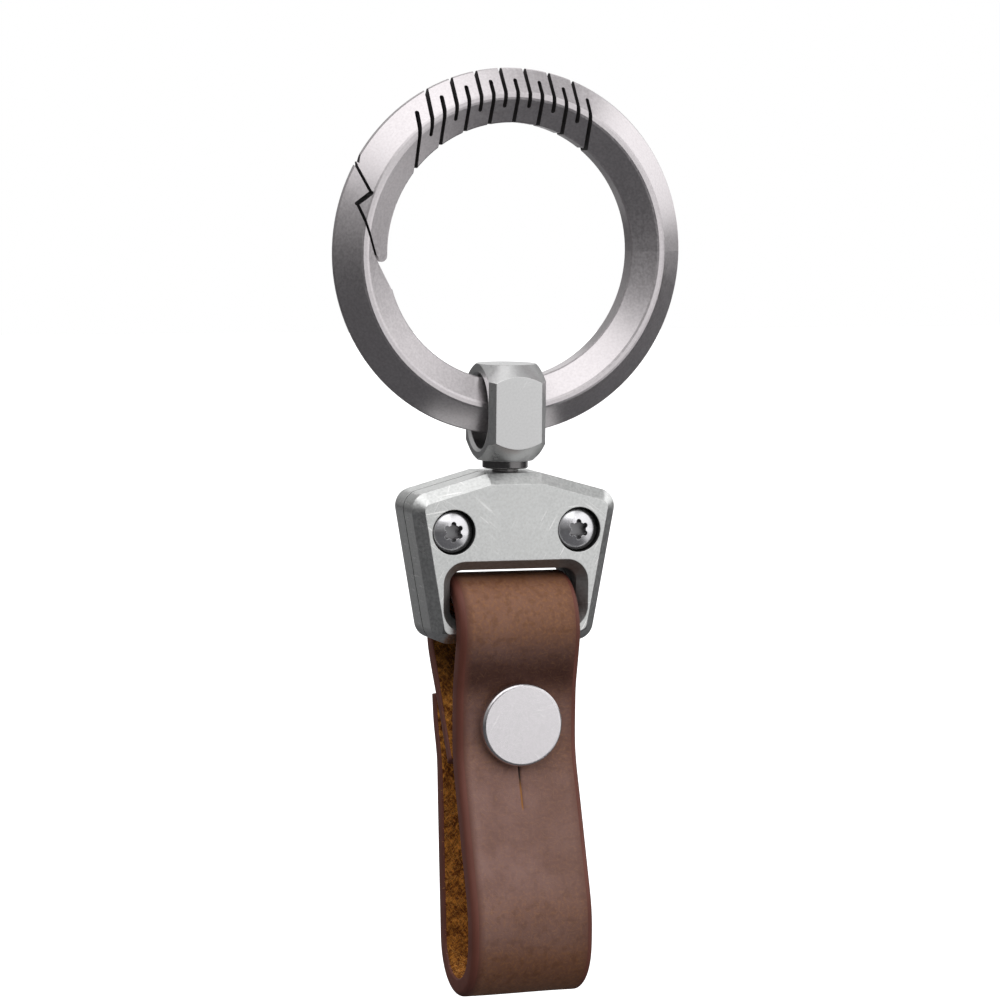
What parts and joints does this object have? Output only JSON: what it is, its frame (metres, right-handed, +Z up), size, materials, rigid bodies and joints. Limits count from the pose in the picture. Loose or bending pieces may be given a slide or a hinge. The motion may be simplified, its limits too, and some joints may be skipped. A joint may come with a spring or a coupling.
{
  "type": "keychain bottle opener",
  "caption": "Split metal ring with a sprung gate, a swivel eye and a two-plate opener housing that carries a folded leather strap with a button stud.",
  "frame": {"origin": "centre of the ring's bore", "axes": "+Z up with the part hanging from the ring, -Y the front where the screw heads and the stud cap are, +X to the right as seen from the front"},
  "size_m": [0.0364, 0.0159, 0.0921],
  "materials": {
    "ring_blasted": "bead-blasted titanium, warm grey",
    "eye_satin": "fine satin titanium",
    "plate_satin": "tumbled satin titanium with fine scratches and bright edges",
    "pin_steel": "turned and polished steel",
    "washer_bronze": "plain bronze",
    "screw_steel": "polished stainless steel",
    "strap_leather": "pull-up brown leather, burnished edges, rough orange-brown flesh side",
    "stud_nickel": "polished nickel plate with faint scratches"
  },
  "bodies": {
    "ring": {"ring_frame": "ring_blasted", "ring_spring": "ring_blasted"},
    "gate": {"ring_gate": "ring_blasted"},
    "eye": {"swivel_eye": "eye_satin", "swivel_pin": "pin_steel", "thrust_washer": "washer_bronze"},
    "housing": {"front_plate": "plate_satin", "rear_plate": "plate_satin", "plate_screw_left": "screw_steel", "plate_screw_right": "screw_steel"},
    "strap": {"leather_strap": "strap_leather", "stud_cap": "stud_nickel", "stud_screw": "stud_nickel"}
  },
  "joints": [
    {"name": "gate_flex", "type": "hinge", "parent": "ring", "child": "gate", "pos_m": [-0.0011, 0, 0.0152], "axis": [0, -1, 0], "range_deg": [0, 12], "stiffness_Nm_per_rad": 0.57, "deforming": ["ring_spring"]},
    {"name": "eye_swing", "type": "hinge", "parent": "ring", "child": "eye", "pos_m": [0, 0, -0.01535], "axis": [1, 0, 0], "range_deg": [-100, 100]},
    {"name": "housing_swivel", "type": "hinge", "parent": "eye", "child": "housing", "pos_m": [0, 0, -0.02185], "axis": [0, 0, 1], "continuous": true},
    {"name": "strap_swing", "type": "hinge", "parent": "housing", "child": "strap", "pos_m": [0, 0, -0.0377], "axis": [1, 0, 0], "range_deg": [-85, 85]}
  ]
}
